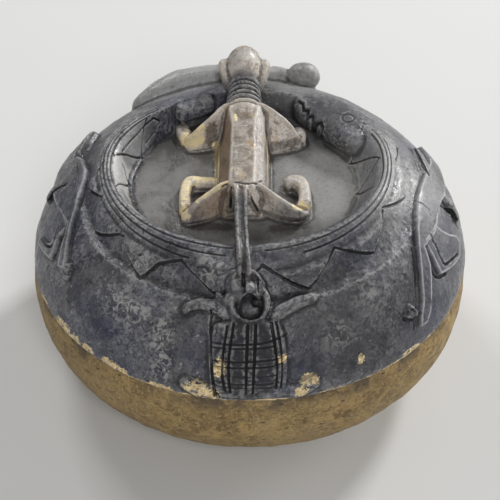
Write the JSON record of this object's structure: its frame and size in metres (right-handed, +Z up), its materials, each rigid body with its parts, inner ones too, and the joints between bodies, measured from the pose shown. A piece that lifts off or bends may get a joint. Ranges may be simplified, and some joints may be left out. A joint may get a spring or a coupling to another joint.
{
  "type": "lidded divination bowl",
  "caption": "Round wooden bowl with inner compartments and a domed lid carved with animals in relief; the lid lifts off a raised lip.",
  "frame": {"origin": "centre of the flat base, on the surface the bowl stands on", "axes": "+Z up through the lid; -Y towards the front, where the tortoise is carved; +X to the right seen from the front"},
  "size_m": [0.406, 0.406, 0.2495],
  "materials": {
    "bare_wood": "bare ochre wood, worn smooth, with dark specks and streaks",
    "stained_wood": "blue-black stain over adze facets, with a grey bloom, worn brown on the raised animal"
  },
  "bodies": {
    "bowl": {"bowl": "bare_wood"},
    "lid": {"lid": "stained_wood"}
  },
  "joints": [
    {"name": "lid_lift", "type": "slide", "parent": "bowl", "child": "lid", "axis": [0, 0, 1], "range_m": [0, 0.15]}
  ]
}
